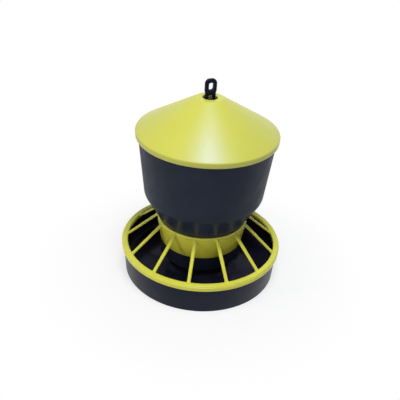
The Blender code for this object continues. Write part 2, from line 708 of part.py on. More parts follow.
def slide_axis(name, location, turn, collection, parent=None):
    """An empty on a joint's axis that carries the pieces which move along it."""
    axis = bpy.data.objects.new(name, None)
    axis.empty_display_size = AXIS_MARK_SIZE
    axis.location = location
    axis.rotation_euler = (0.0, 0.0, turn)
    axis.parent = parent
    collection.objects.link(axis)
    return axis


def main():
    clear_scene()
    parts = new_collection("poultry_feeder")
    cutters = new_collection("cutters")

    make_feed_pan(parts, cutters)
    make_grill(parts, cutters)
    make_hanger(parts)

    hopper_axis = slide_axis("hopper_slide", (0.0, 0.0, NECK_FOOT_HEIGHT), STRAP_TURN, parts)
    make_hopper(parts, cutters).parent = hopper_axis
    bridge = make_bridge(parts, cutters)
    bridge.parent = hopper_axis
    bridge.location = (0.0, 0.0, bridge_foot_height() - NECK_FOOT_HEIGHT)

    lid_seat = HOPPER_TOP_HEIGHT + TOUCH_GAP - NECK_FOOT_HEIGHT
    lid_axis = slide_axis("lid_slide", (0.0, 0.0, lid_seat), 0.0, parts, hopper_axis)
    make_lid(parts, cutters).parent = lid_axis

    pin_heights = {
        "gap_pin": pin_height_under(bridge_foot_height()),
        "foot_pin": pin_height_under(boss_underside()),
    }
    for name, height in pin_heights.items():
        pin = make_pin(name, parts)
        pin.location = (0.0, 0.0, height)
        pin.rotation_euler = (0.0, 0.0, STRAP_TURN)


main()
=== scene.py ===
import math

import bmesh
import bpy
from mathutils import Matrix, Vector


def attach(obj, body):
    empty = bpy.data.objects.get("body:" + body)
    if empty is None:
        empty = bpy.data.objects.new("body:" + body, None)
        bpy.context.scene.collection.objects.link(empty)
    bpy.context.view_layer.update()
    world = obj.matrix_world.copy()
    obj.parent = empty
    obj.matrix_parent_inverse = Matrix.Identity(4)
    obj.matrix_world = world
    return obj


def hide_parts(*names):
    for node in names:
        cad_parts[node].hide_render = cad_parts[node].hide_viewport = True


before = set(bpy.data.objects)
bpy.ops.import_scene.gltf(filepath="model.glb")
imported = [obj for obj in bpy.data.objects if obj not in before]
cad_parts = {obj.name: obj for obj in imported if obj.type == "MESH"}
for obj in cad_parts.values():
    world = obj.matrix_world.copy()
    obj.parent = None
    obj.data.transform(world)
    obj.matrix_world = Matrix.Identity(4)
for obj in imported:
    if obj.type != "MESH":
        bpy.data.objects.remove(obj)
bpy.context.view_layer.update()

# All lengths are in metres. The feeder's axis is Z, and the photograph's front is at -Y.

# Play between mouldings
TOUCH_GAP = 0.0003
SLOT_PLAY = 0.0004
NOTCH_PLAY = 0.0004
BRIDGE_END_PLAY = 0.0005

# Steps round the turned mouldings
TURN_STEPS = 192
PIN_STEPS = 48

# Roundings, each given as the length that it takes off the faces at its two sides
HAIR_EDGE = 0.0004
FINE_EDGE = 0.0005
MOULDED_EDGE = 0.0008
CORNER_SEGMENTS = 4
LARGE_CORNER = 0.0040           # roundings from this size up get the larger number of segments
LARGE_CORNER_SEGMENTS = 12
CIRCULAR = 0.5                  # profile of a rounding that is part of a circle

# Distances and angles that tell one part of a mesh from another, the last two in radians
WELD = 0.00001
CELL_MATCH = 0.0001
SHARP_ANGLE = math.radians(34)
RIM_ANGLE = math.radians(50)
CORNER_ANGLE = 0.9
BEND_ANGLE = 0.2

# Feed pan
PAN_FOOT_RADIUS = 0.1720
PAN_FOOT_WIDTH = 0.0050
PAN_NECK_RADIUS = 0.1754
PAN_BEAD_RADIUS = 0.1767
PAN_BEAD_HEIGHT = 0.0058
PAN_HEIGHT = 0.0690
PAN_WALL = 0.0025
TROUGH_RADIUS = 0.1600
TROUGH_HEIGHT = 0.0095
SPREADER_RADIUS = 0.0900
SPREADER_HEIGHT = 0.0195
BOSS_RADIUS = 0.0420
BOSS_HEIGHT = 0.0460
BOSS_ROOF = 0.0040
BOSS_ROUNDING = 0.0022
FLOOR_ROUNDING = 0.0060
FLOOR_CORNER_ROUNDING = 0.0100
UNDERSIDE_ROUNDING = 0.0010
SLOT_BLOCK_FOOT = 0.0390
SLOT_BLOCK_WALL = 0.0040
SLOT_BLOCK_REACH = 0.0120
RIB_COUNT = 12
RIB_WIDTH = 0.0020
RIB_DEPTH = 0.0040
FLOOR_TILT = 0.2                # a face that looks up more than this belongs to the floor

# Anti-waste grill: its ring, with a channel that fits over the pan's rim
RING_RADIUS = 0.1800
RING_INNER_RADIUS = 0.1664
RING_TOP = 0.0734
RING_SKIRT_FOOT = 0.0609
RING_SKIRT_DRAFT = 0.0004
RING_INNER_ROUNDING = 0.0034
RING_OUTER_ROUNDING = 0.0016
RING_EDGE = 0.0006
CREASE_REACH = 0.0013           # the crease round the ring: how far it steps out,
CREASE_START = 0.0029           # and where it starts and ends below the ring's top
CREASE_END = 0.0034
CREASE_INNER_ROUNDING = 0.0002
CREASE_OUTER_ROUNDING = 0.0007
SNAP_REACH = 0.0009
SNAP_SLOPE = 0.0007
SNAP_EDGE = 0.0003
CHANNEL_LIP_WALL = 0.0020
CHANNEL_LIP_LENGTH = 0.0050
RING_INNER_HEIGHT = 0.0040
APRON_FOOT = 0.0642
APRON_FOOT_INNER = 0.0002       # the apron's faces, from the ring's inner radius outwards
APRON_FOOT_OUTER = 0.0022
APRON_TOP_OUTER = 0.0024

# The grill's spokes, whose ends widen into the collar and the ring
SPOKE_COUNT = 13
SPOKE_TURN = math.radians(-6.4)
SPOKE_WIDTH = 0.0070
SPOKE_DEPTH = 0.0042
SPOKE_SINK = 0.0008
SPOKE_RISE_RADIUS = 0.0990
SPOKE_TOP_HEIGHT = 0.1315
SPOKE_IN_COLLAR = 0.0010
SPOKE_IN_RING = 0.0036
# Widening near the two ends, as (distance from the end, share of the width)
COLLAR_END_FLARES = ((0.0012, 1.20), (0.0026, 1.07), (0.0045, 1.0))
RING_END_FLARES = ((0.0042, 1.0), (0.0022, 1.05), (0.0008, 1.14))
SPOKE_END_FLARE = 1.26
SPOKE_START_WIDTH = 0.92
SPOKE_WIDTH_GAIN = 0.12
SPOKE_TOP_ROUND = (0.0025, 5)   # roundings with their number of segments
SPOKE_FOOT_ROUND = (MOULDED_EDGE, 2)

# The grill's collar round the hopper's funnel
COLLAR_TOP = 0.1356
COLLAR_LIP_WALL = 0.0024
COLLAR_SEAT_DEPTH = 0.0030
COLLAR_LEDGE_HEIGHT = 0.1285
COLLAR_LEDGE_RISE = 0.0012
COLLAR_LEDGE_RADIUS = 0.1000
COLLAR_LEDGE_ROUNDING = 0.0006
COLLAR_FOOT_HEIGHT = 0.0800
COLLAR_FOOT_RADIUS = 0.0925
COLLAR_WALL = 0.0020

# Hopper
HOPPER_WALL = 0.0025
HOPPER_TOP_HEIGHT = 0.3380
HOPPER_TOP_RADIUS = 0.1442
HOPPER_WAIST_HEIGHT = 0.1970
HOPPER_WAIST_RADIUS = 0.1300
HOPPER_ROUNDING = 0.0060
HOPPER_RIM_SEGMENTS = 2
FUNNEL_SEAT_RADIUS = 0.0950
FUNNEL_SEAT_HEIGHT = 0.1350
FUNNEL_FINISH_HEIGHT = HOPPER_WAIST_HEIGHT - 0.0040
FUNNEL_FLARE = (HOPPER_WAIST_RADIUS - FUNNEL_SEAT_RADIUS) / (
    HOPPER_WAIST_HEIGHT - FUNNEL_SEAT_HEIGHT)
NECK_RADIUS = 0.0880
NECK_FOOT_HEIGHT = 0.0430

# Lid
LID_WALL = 0.0022
LID_SEAT_HEIGHT = HOPPER_TOP_HEIGHT + TOUCH_GAP
LID_SEAT_INNER_RADIUS = 0.1405
LID_SKIRT_RADIUS = 0.1485
LID_SKIRT_FOOT = LID_SEAT_HEIGHT - 0.0090
LID_CREASE_RADIUS = 0.1492
LID_CREASE_HEIGHT = LID_SEAT_HEIGHT + 0.0020
LID_CREASE_ROUNDING = 0.0020
LID_TOP_RADIUS = 0.0277
LID_TOP_HEIGHT = LID_SEAT_HEIGHT + 0.0732
LID_TOP_ROUNDING = 0.0014
LID_HOLE_RADIUS = 0.0154
LID_SPIGOT_DEPTH = 0.0095

# Hanger strap with its shoulders and its row of holes
STRAP_TURN = math.radians(22.0)
STRAP_WIDTH = 0.0180
STRAP_THICKNESS = 0.0080
STRAP_TIP_HEIGHT = 0.0254
SHOULDER_WIDTH = 0.0236
SHOULDER_HEIGHT = 0.0090
SHOULDER_SLOPE = 0.0050
HOLE_WIDTH = 0.0100
HOLE_REACH = 0.0060             # nearer the middle than this, an edge belongs to a hole
FOOT_HOLE_HEIGHT = 0.0359
LADDER_FOOT_HEIGHT = 0.3272
LADDER_PITCH = 0.0140
LADDER_HOLE_COUNT = 6
LADDER_HOLE_LENGTH = 0.0090
STRAP_HOLE_ROUND = (0.0030, 6)
STRAP_TIP_ROUND = (0.0040, 5)
STRAP_RIM_ROUND = (0.0014, 4)

# The hanger's head with the eye
HEAD_WIDTH = 0.0224
HEAD_THICKNESS = 0.0084
HEAD_FOOT_HEIGHT = 0.4022
STRAP_TOP_HEIGHT = HEAD_FOOT_HEIGHT + 0.0035
HEAD_HOLE_HEIGHT = 0.4128
HEAD_HOLE_LENGTH = 0.0080
EYE_WIDTH = 0.0250
EYE_TOP_HEIGHT = 0.4500
EYE_HOLE_LENGTH = 0.0148
EYE_HOLE_TOP_MARGIN = 0.0082
EYE_SWELL_START = 0.0058        # the head widens from here to there below the eye's hole
EYE_SWELL_END = 0.0018
EYE_SHOULDER_DROP = 0.0025
EYE_CROWN_HALF = 0.0015
HEAD_HOLE_ROUND = (0.0032, 6)
EYE_CROWN_ROUND = (0.0100, 12)
HEAD_RIM_ROUND = (0.0032, 6)
HEAD_HOLE_RIM_ROUND = (0.0012, 4)

# Bridge across the hopper's mouth
BRIDGE_FOOT_HEIGHT = 0.3301
BRIDGE_RAIL_WIDTH = 0.0040
BRIDGE_RAIL_HEIGHT = 0.0076
BRIDGE_SLOT_HALF = STRAP_THICKNESS / 2 + 0.0006
BRIDGE_STOP = 0.0120
BRIDGE_WEB = 0.0030
BRIDGE_WEB_COUNT = 4
BRIDGE_END_LENGTH = 0.0100
BRIDGE_EDGE_ROUND = (FINE_EDGE, 2)

# Pins
PIN_RADIUS = 0.0035
PIN_REACH = 0.0135
PIN_HEAD_RADIUS = 0.0060
PIN_HEAD_LENGTH = 0.0040
PIN_HEAD_ROUNDING = 0.0012
PIN_TIP = 0.0012
GAP_PIN_HEIGHT = BRIDGE_FOOT_HEIGHT - TOUCH_GAP - PIN_RADIUS
FOOT_PIN_HEIGHT = SLOT_BLOCK_FOOT - TOUCH_GAP - PIN_RADIUS

# Plastics: tints of the shine, scales of the noise, and ranges that are carried over to others
BLACK_SHEEN = (0.50, 0.58, 1.0, 1)
YELLOW_SHEEN = (0.28, 0.36, 1.0, 1)
CLOUD_SCALE = 14.0              # soft clouds of colour
BLACK_PATCH_SCALE = 45.0        # patches of roughness
YELLOW_PATCH_SCALE = 60.0
BLACK_WAVE_SCALE = 8.0          # unevenness of the moulded face
YELLOW_WAVE_SCALE = 9.0
YELLOW_WAVINESS = 0.0008
NOISE_RANGE = (0.35, 0.65)
SPECK_RANGE = (0.45, 0.75)
RIDGE_RANGE = (0.52, 0.60)      # pointiness, from a flat face to a sharp ridge
YELLOW_DEPTH_OF_LIGHT = (0.004, 0.004, 0.001)   # how far red, green and blue light goes in
YELLOW_LIGHT_SHARE = 0.06
MIX_COLOURS = (6, 7)            # the mix node's sockets for colours
MIX_RESULT = 2

# The photograph's camera, fitted to the outlines of the lid, the ring, the pan and the collar
CAMERA_PLACE = (0.0, -1.0567, 0.8190)
CAMERA_BACK = (0.0056, -0.8522, 0.5232)
CAMERA_RIGHT = (0.9977, 0.0400, 0.0545)
LENS_LENGTH = 50.4
SENSOR_WIDTH = 36.0
NEAREST_SEEN = 0.05
FARTHEST_SEEN = 60.0

# Studio
COOL = (0.95, 0.99, 1.0)
WARM = (1.0, 0.955, 0.84)
LIGHT_AIM = Vector((0.0, 0.0, 0.2))
SURROUND_COLOUR = (0.96, 0.98, 1.0, 1.0)
SURROUND_LEVEL = 0.03
WHITE = (1.0, 1.0, 1.0, 1.0)
FLOOR_RADIUS = 14.0
FLOOR_STEPS = 96
FLOOR_DEPTH = 0.0002
FLOOR_COLOUR = (0.86, 0.86, 0.86, 1.0)
FLOOR_ROUGHNESS = 0.9
FADE_START_RADIUS = 0.15
FADE_END_RADIUS = 0.42
FADE_START = 0.72

# Name, place, width, depth, power, colour, and whether the gloss mirrors the panel
PANELS = (
    ("high_panel", (0.03, -0.10, 1.95), 0.60, 0.35, 4.5, COOL, True),
    ("main_panel", (0.09, -0.42, 1.95), 0.50, 0.25, 16.0, COOL, True),
    ("forward_panel", (0.14, -0.75, 1.90), 0.50, 0.35, 9.0, COOL, True),
    ("front_fill", (0.0, -1.80, 0.80), 1.20, 1.20, 4.4, WARM, False),
    ("left_window", (-1.25, -0.68, 0.70), 0.40, 0.40, 5.4, WARM, False),
    ("back_panel", (0.50, 1.95, 1.60), 1.30, 1.00, 9.0, COOL, False),
)


def turned_outline(corners, steps=TURN_STEPS, closed=True):
    """Spin an outline of (radius, height[, rounding]) corners round the feeder's axis."""
    shape = bmesh.new()
    points = [shape.verts.new((corner[0], 0.0, corner[1])) for corner in corners]
    for start, finish in zip(points, points[1:]):
        shape.edges.new((start, finish))
    if closed:
        shape.edges.new((points[-1], points[0]))
    for point, corner in zip(points, corners):
        if len(corner) > 2:
            segments = CORNER_SEGMENTS if corner[2] < LARGE_CORNER else LARGE_CORNER_SEGMENTS
            bmesh.ops.bevel(shape, geom=[point], offset=corner[2], offset_type='OFFSET',
                            segments=segments, profile=CIRCULAR, affect='VERTICES', material=-1)
    bmesh.ops.spin(shape, geom=[*shape.verts, *shape.edges], axis=(0, 0, 1), cent=(0, 0, 0),
                   dvec=(0, 0, 0), angle=math.tau, steps=steps, use_merge=True)
    bmesh.ops.remove_doubles(shape, verts=shape.verts, dist=WELD)
    bmesh.ops.dissolve_degenerate(shape, edges=shape.edges, dist=WELD)
    bmesh.ops.recalc_face_normals(shape, faces=shape.faces)
    return shape


def block(shape, low, high, place=Matrix()):
    """Add a box between two corners, moved to its place."""
    low, high = Vector(low), Vector(high)
    size = Matrix.Diagonal((*(high - low), 1.0))
    matrix = place @ Matrix.Translation((low + high) / 2) @ size
    bmesh.ops.create_cube(shape, size=1.0, matrix=matrix)


def pierced_plate(columns, places, holes, thickness):
    """A plate over a grid of places, row by row, open at the cells whose middles are given."""
    shape = bmesh.new()
    bmesh.ops.create_grid(shape, x_segments=columns - 1, y_segments=len(places) // columns - 1,
                          size=0.5)
    by_row = sorted(shape.verts, key=lambda vert: (round(vert.co.y, 5), vert.co.x))
    for vert, place in zip(by_row, places):
        vert.co = place
    cells = [face for face in shape.faces
             if any((face.calc_center_median() - hole).length < CELL_MATCH for hole in holes)]
    bmesh.ops.delete(shape, geom=cells, context='FACES')
    bmesh.ops.recalc_face_normals(shape, faces=shape.faces)
    bmesh.ops.solidify(shape, geom=shape.faces[:], thickness=thickness)
    bmesh.ops.recalc_face_normals(shape, faces=shape.faces)
    return shape


def round_edges(shape, edges, rounding, clamp=True):
    """Round edges of a shape by a length and a number of segments."""
    offset, segments = rounding
    bmesh.ops.bevel(shape, geom=edges, offset=offset, offset_type='OFFSET', segments=segments,
                    profile=CIRCULAR, affect='EDGES', clamp_overlap=clamp, material=-1)


def as_object(name, shape):
    """Link a finished bmesh under a name."""
    mesh = bpy.data.meshes.new(name)
    shape.to_mesh(mesh)
    shape.free()
    piece = bpy.data.objects.new(name, mesh)
    bpy.context.scene.collection.objects.link(piece)
    return piece


def keep_modified(piece):
    """Make a piece's modified mesh its own."""
    bpy.context.view_layer.update()
    evaluated = piece.evaluated_get(bpy.context.evaluated_depsgraph_get())
    mesh = bpy.data.meshes.new_from_object(evaluated)
    piece.modifiers.clear()
    old = piece.data
    piece.data = mesh
    bpy.data.meshes.remove(old)
    mesh.name = piece.name


def join_solid(piece, other, operation):
    """Unite a piece with another solid, or cut that solid out of it, and drop the other."""
    boolean = piece.modifiers.new("Join", 'BOOLEAN')
    boolean.operation = operation
    boolean.solver = 'EXACT'
    boolean.object = other
    keep_modified(piece)
    mesh = other.data
    bpy.data.objects.remove(other, do_unlink=True)
    bpy.data.meshes.remove(mesh)


def finish_piece(piece, body, slot, node, *finishes):
    """Shade a piece, give it its plastics, and let it stand for its CAD node."""
    mesh = piece.data
    for finish in finishes:
        mesh.materials.append(finish)
    mesh.shade_smooth()
    mesh.set_sharp_from_angle(angle=SHARP_ANGLE)
    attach(piece, body)
    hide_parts(node)


def cone_drop(upper, lower, wall):
    """Height between the two faces of a wall that slopes down from one corner to another."""
    return wall * math.hypot(1.0, (upper[1] - lower[1]) / (lower[0] - upper[0]))


def model_lid(finish):
    """The conical lid with its flat top, spigot, skirt and seat ring."""
    crease = (LID_CREASE_RADIUS, LID_CREASE_HEIGHT)
    top = (LID_TOP_RADIUS, LID_TOP_HEIGHT)
    slope = (top[1] - crease[1]) / (crease[0] - top[0])
    drop = cone_drop(top, crease, LID_WALL)
    seat_roof = crease[1] + (crease[0] - LID_SEAT_INNER_RADIUS) * slope - drop
    spigot_foot = LID_TOP_HEIGHT - LID_SPIGOT_DEPTH
    spigot_outer = LID_HOLE_RADIUS + LID_WALL
    skirt_inner = LID_SKIRT_RADIUS - LID_WALL
    shape = turned_outline([
        (LID_HOLE_RADIUS, spigot_foot, FINE_EDGE),
        (LID_HOLE_RADIUS, LID_TOP_HEIGHT, MOULDED_EDGE),
        (*top, LID_TOP_ROUNDING),
        (*crease, LID_CREASE_ROUNDING),
        (LID_SKIRT_RADIUS, LID_SKIRT_FOOT, FINE_EDGE),
        (skirt_inner, LID_SKIRT_FOOT, FINE_EDGE),
        (skirt_inner, LID_SEAT_HEIGHT),
        (LID_SEAT_INNER_RADIUS, LID_SEAT_HEIGHT, FINE_EDGE),
        (LID_SEAT_INNER_RADIUS, seat_roof),
        (LID_TOP_RADIUS - LID_WALL * slope / 2, LID_TOP_HEIGHT - LID_WALL, MOULDED_EDGE),
        (spigot_outer, LID_TOP_HEIGHT - LID_WALL),
        (spigot_outer, spigot_foot, FINE_EDGE),
    ])
    finish_piece(as_object("lid_cone", shape), "lid_unit", "lid_yellow", "lid", finish)


def cut_notches(shape):
    """Cut the hopper's rim down at the two places where the bridge lies in it."""
    bed = BRIDGE_FOOT_HEIGHT - TOUCH_GAP
    half = BRIDGE_SLOT_HALF + BRIDGE_RAIL_WIDTH + NOTCH_PLAY
    across = Vector((-math.sin(STRAP_TURN), math.cos(STRAP_TURN), 0.0))
    bmesh.ops.bisect_plane(shape, geom=[*shape.verts, *shape.edges, *shape.faces], dist=WELD,
                           plane_co=(0, 0, bed), plane_no=(0, 0, 1))
    for side in (-half, half):
        rim = [face for face in shape.faces if face.calc_center_median().z > bed]
        edges = dict.fromkeys(edge for face in rim for edge in face.edges)
        verts = dict.fromkeys(vert for face in rim for vert in face.verts)
        bmesh.ops.bisect_plane(shape, geom=[*verts, *edges, *rim], dist=WELD,
                               plane_co=across * side, plane_no=across)
    notches = [face for face in shape.faces if face.calc_center_median().z > bed
               and abs(face.calc_center_median().dot(across)) < half]
    bmesh.ops.delete(shape, geom=notches, context='FACES')


def model_hopper(body_finish, funnel_finish):
    """The hopper's body, funnel and neck, with the bridge's two notches in its rim."""
    neck_top = FUNNEL_SEAT_HEIGHT - (FUNNEL_SEAT_RADIUS - NECK_RADIUS) / FUNNEL_FLARE
    shape = turned_outline([
        (HOPPER_TOP_RADIUS, HOPPER_TOP_HEIGHT),
        (HOPPER_WAIST_RADIUS, HOPPER_WAIST_HEIGHT, HOPPER_ROUNDING),
        (NECK_RADIUS, neck_top, HOPPER_ROUNDING),
        (NECK_RADIUS, NECK_FOOT_HEIGHT),
    ], closed=False)
    cut_notches(shape)
    for face in shape.faces:
        if face.normal.xy.dot(face.calc_center_median().xy) < 0:
            face.normal_flip()
    hopper = as_object("hopper_body", shape)
    wall = hopper.modifiers.new("Wall", 'SOLIDIFY')
    wall.thickness = HOPPER_WALL
    wall.offset = -1.0
    wall.use_even_offset = True
    rounding = hopper.modifiers.new("Rim", 'BEVEL')
    rounding.width = FINE_EDGE
    rounding.segments = HOPPER_RIM_SEGMENTS
    rounding.limit_method = 'ANGLE'
    rounding.angle_limit = RIM_ANGLE
    keep_modified(hopper)
    finish_piece(hopper, "hopper_unit", "hopper_black", "hopper", body_finish, funnel_finish)
    for face in hopper.data.polygons:
        face.material_index = 1 if face.center.z < FUNNEL_FINISH_HEIGHT else 0


def pan_shell():
    """The pan without ribs and slot: foot ring, flared wall, rim bead, sloping floor and boss."""
    trough = (TROUGH_RADIUS, TROUGH_HEIGHT)
    spreader = (SPREADER_RADIUS, SPREADER_HEIGHT)
    boss = (BOSS_RADIUS, BOSS_HEIGHT)
    bead_foot = PAN_HEIGHT - PAN_BEAD_HEIGHT
    wall_draft = (PAN_NECK_RADIUS - PAN_FOOT_RADIUS) / bead_foot
    inner_floor = PAN_FOOT_RADIUS + wall_draft * TROUGH_HEIGHT - PAN_WALL
    foot_inner = PAN_FOOT_RADIUS - PAN_FOOT_WIDTH
    return turned_outline([
        (0.0, BOSS_HEIGHT),
        (*boss, BOSS_ROUNDING),
        (*spreader, FLOOR_ROUNDING),
        (*trough, FLOOR_ROUNDING),
        (inner_floor, TROUGH_HEIGHT, FLOOR_CORNER_ROUNDING),
        (PAN_NECK_RADIUS - PAN_WALL, PAN_HEIGHT, MOULDED_EDGE),
        (PAN_BEAD_RADIUS, PAN_HEIGHT, MOULDED_EDGE),
        (PAN_BEAD_RADIUS, bead_foot + MOULDED_EDGE, FINE_EDGE),
        (PAN_NECK_RADIUS, bead_foot),
        (PAN_FOOT_RADIUS, 0.0, MOULDED_EDGE),
        (foot_inner, 0.0, FINE_EDGE),
        (foot_inner, TROUGH_HEIGHT - PAN_WALL, UNDERSIDE_ROUNDING),
        (TROUGH_RADIUS, TROUGH_HEIGHT - PAN_WALL),
        (SPREADER_RADIUS, SPREADER_HEIGHT - cone_drop(spreader, trough, PAN_WALL)),
        (BOSS_RADIUS, BOSS_HEIGHT - cone_drop(boss, spreader, PAN_WALL)),
        (BOSS_RADIUS - PAN_WALL, BOSS_HEIGHT - BOSS_ROOF, UNDERSIDE_ROUNDING),
        (0.0, BOSS_HEIGHT - BOSS_ROOF),
    ], closed=False)


def model_feed_pan(wall_finish, floor_finish):
    """The pan, with ribs under its floor and a slot for the strap through its boss."""
    pan = as_object("pan_body", pan_shell())
    turn = Matrix.Rotation(STRAP_TURN, 4, 'Z')
    half_width = STRAP_WIDTH / 2 + SLOT_PLAY
    half_depth = STRAP_THICKNESS / 2 + SLOT_PLAY
    added = bmesh.new()
    block(added, (-half_width - SLOT_BLOCK_WALL, -SLOT_BLOCK_REACH, SLOT_BLOCK_FOOT),
          (half_width + SLOT_BLOCK_WALL, SLOT_BLOCK_REACH, BOSS_HEIGHT - BOSS_ROOF / 2), turn)
    run = TROUGH_RADIUS - SPREADER_RADIUS
    fall = SPREADER_HEIGHT - TROUGH_HEIGHT
    floor_drop = cone_drop((SPREADER_RADIUS, SPREADER_HEIGHT), (TROUGH_RADIUS, TROUGH_HEIGHT),
                           PAN_WALL)
    for index in range(RIB_COUNT):
        place = Matrix.Rotation(math.tau * (index + 0.5) / RIB_COUNT, 4, 'Z')
        place = place @ Matrix.Translation((SPREADER_RADIUS, 0.0, SPREADER_HEIGHT - floor_drop))
        block(added, (0.0, -RIB_WIDTH / 2, -RIB_DEPTH),
              (math.hypot(run, fall), RIB_WIDTH / 2, floor_drop / 2),
              place @ Matrix.Rotation(math.atan2(fall, run), 4, 'Y'))
    join_solid(pan, as_object("pan_ribs", added), 'UNION')
    slot = bmesh.new()
    block(slot, (-half_width, -half_depth, SLOT_BLOCK_FOOT - BOSS_ROOF),
          (half_width, half_depth, BOSS_HEIGHT + BOSS_ROOF), turn)
    join_solid(pan, as_object("pan_slot", slot), 'DIFFERENCE')
    finish_piece(pan, "base", "pan_black", "feed_pan", wall_finish, floor_finish)
    # The floor and inner wall take the floor plastic. Its colour, brighter and bluer than the
    # outer wall's, is painted light and painted reflection.
    for face in pan.data.polygons:
        outward = face.normal.x * face.center.x + face.normal.y * face.center.y
        inside = face.normal.z > FLOOR_TILT or (outward < 0.0 and face.center.z > TROUGH_HEIGHT)
        face.material_index = 1 if inside else 0


def lengthwise_edges(bar, height):
    """Edges that run along a lying bar at a height."""
    return [edge for edge in bar.edges
            if abs(edge.verts[0].co.x - edge.verts[1].co.x) > WELD
            and all(abs(vert.co.z - height) < WELD for vert in edge.verts)]


def model_bar(length, slope):
    """A spoke along X before it's put in place, wider where it runs into collar and ring."""
    start = -SPOKE_IN_COLLAR / math.cos(slope)
    end = length + SPOKE_IN_RING / math.cos(slope)
    bar = bmesh.new()
    block(bar, (start, -SPOKE_WIDTH / 2, -SPOKE_DEPTH), (end, SPOKE_WIDTH / 2, 0.0))
    cuts = [*COLLAR_END_FLARES, *((length - back, width) for back, width in RING_END_FLARES)]
    for cut, width in cuts:
        made = bmesh.ops.bisect_plane(bar, geom=[*bar.verts, *bar.edges, *bar.faces], dist=WELD,
                                      plane_co=(cut, 0, 0), plane_no=(1, 0, 0))
        rim = [item for item in made["geom_cut"] if isinstance(item, bmesh.types.BMVert)]
        bmesh.ops.scale(bar, vec=(1.0, width, 1.0), verts=rim)
    for vert in bar.verts:
        if not 0.0 < vert.co.x < length:
            vert.co.y *= SPOKE_END_FLARE
        vert.co.y *= SPOKE_START_WIDTH + SPOKE_WIDTH_GAIN * vert.co.x / length
    round_edges(bar, lengthwise_edges(bar, 0.0), SPOKE_TOP_ROUND)
    round_edges(bar, lengthwise_edges(bar, -SPOKE_DEPTH), SPOKE_FOOT_ROUND)
    return bar


def model_spokes():
    """The bars from the collar down to the ring."""
    run = RING_INNER_RADIUS - SPOKE_RISE_RADIUS
    fall = SPOKE_TOP_HEIGHT - RING_TOP + SPOKE_SINK
    slope = math.atan2(fall, run)
    shape = bmesh.new()
    for index in range(SPOKE_COUNT):
        bar = model_bar(math.hypot(run, fall), slope)
        bearing = SPOKE_TURN + math.tau * index / SPOKE_COUNT
        place = Matrix.Rotation(bearing - math.pi / 2, 4, 'Z')
        place = place @ Matrix.Translation((SPOKE_RISE_RADIUS, 0.0, SPOKE_TOP_HEIGHT))
        bmesh.ops.transform(bar, matrix=place @ Matrix.Rotation(slope, 4, 'Y'), verts=bar.verts)
        holder = bpy.data.meshes.new("bar")
        bar.to_mesh(holder)
        bar.free()
        shape.from_mesh(holder)
        bpy.data.meshes.remove(holder)
    return as_object("grill_spokes", shape)


def grill_ring():
    """The rim ring: a crease outside, a channel with a snap bead below, an apron inside."""
    roof = PAN_HEIGHT + TOUCH_GAP
    channel_outer = PAN_BEAD_RADIUS + TOUCH_GAP
    channel_inner = PAN_NECK_RADIUS - PAN_WALL - TOUCH_GAP
    lip_inner = channel_inner - CHANNEL_LIP_WALL
    lip_foot = PAN_HEIGHT - CHANNEL_LIP_LENGTH
    snap_radius = channel_outer - SNAP_REACH
    snap_top = PAN_HEIGHT - PAN_BEAD_HEIGHT - TOUCH_GAP
    inner_foot = RING_TOP - RING_INNER_HEIGHT
    return turned_outline([
        (RING_INNER_RADIUS, RING_TOP, RING_INNER_ROUNDING),
        (RING_RADIUS - CREASE_REACH, RING_TOP, RING_OUTER_ROUNDING),
        (RING_RADIUS - CREASE_REACH, RING_TOP - CREASE_START, CREASE_INNER_ROUNDING),
        (RING_RADIUS, RING_TOP - CREASE_END, CREASE_OUTER_ROUNDING),
        (RING_RADIUS - RING_SKIRT_DRAFT, RING_SKIRT_FOOT, RING_EDGE),
        (snap_radius, RING_SKIRT_FOOT, SNAP_EDGE),
        (snap_radius, snap_top - SNAP_SLOPE),
        (channel_outer, snap_top),
        (channel_outer, roof, HAIR_EDGE),
        (channel_inner, roof, HAIR_EDGE),
        (channel_inner, lip_foot),
        (lip_inner, lip_foot, HAIR_EDGE),
        (lip_inner, inner_foot),
        (RING_INNER_RADIUS + APRON_TOP_OUTER, inner_foot),
        (RING_INNER_RADIUS + APRON_FOOT_OUTER, APRON_FOOT, HAIR_EDGE),
        (RING_INNER_RADIUS + APRON_FOOT_INNER, APRON_FOOT, RING_EDGE),
    ])


def grill_collar():
    """The drafted funnel round the hopper's neck, with a ledge and a conical seat."""
    gap = TOUCH_GAP * math.hypot(1.0, FUNNEL_FLARE)
    lip = FUNNEL_SEAT_RADIUS + (COLLAR_TOP - FUNNEL_SEAT_HEIGHT) * FUNNEL_FLARE + gap
    seat_foot = COLLAR_TOP - COLLAR_SEAT_DEPTH
    seat = FUNNEL_SEAT_RADIUS + (seat_foot - FUNNEL_SEAT_HEIGHT) * FUNNEL_FLARE + gap
    draft = (COLLAR_LEDGE_RADIUS - COLLAR_FOOT_RADIUS) / (COLLAR_LEDGE_HEIGHT - COLLAR_FOOT_HEIGHT)
    inside = COLLAR_WALL * math.hypot(1.0, draft)
    return turned_outline([
        (lip, COLLAR_TOP, HAIR_EDGE),
        (lip + COLLAR_LIP_WALL, COLLAR_TOP, MOULDED_EDGE),
        (lip + COLLAR_LIP_WALL, COLLAR_LEDGE_HEIGHT + COLLAR_LEDGE_RISE, HAIR_EDGE),
        (COLLAR_LEDGE_RADIUS, COLLAR_LEDGE_HEIGHT, COLLAR_LEDGE_ROUNDING),
        (COLLAR_FOOT_RADIUS, COLLAR_FOOT_HEIGHT, FINE_EDGE),
        (COLLAR_FOOT_RADIUS - inside, COLLAR_FOOT_HEIGHT, FINE_EDGE),
        (COLLAR_LEDGE_RADIUS - inside, COLLAR_LEDGE_HEIGHT),
        (seat, seat_foot),
    ])


def model_grill(finish):
    """The one-piece grill: rim ring with its channel, spokes, and funnel collar."""
    grill = as_object("grill_moulding", grill_ring())
    join_solid(grill, model_spokes(), 'UNION')
    join_solid(grill, as_object("grill_collar", grill_collar()), 'UNION')
    finish_piece(grill, "base", "grill_yellow", "grill", finish)


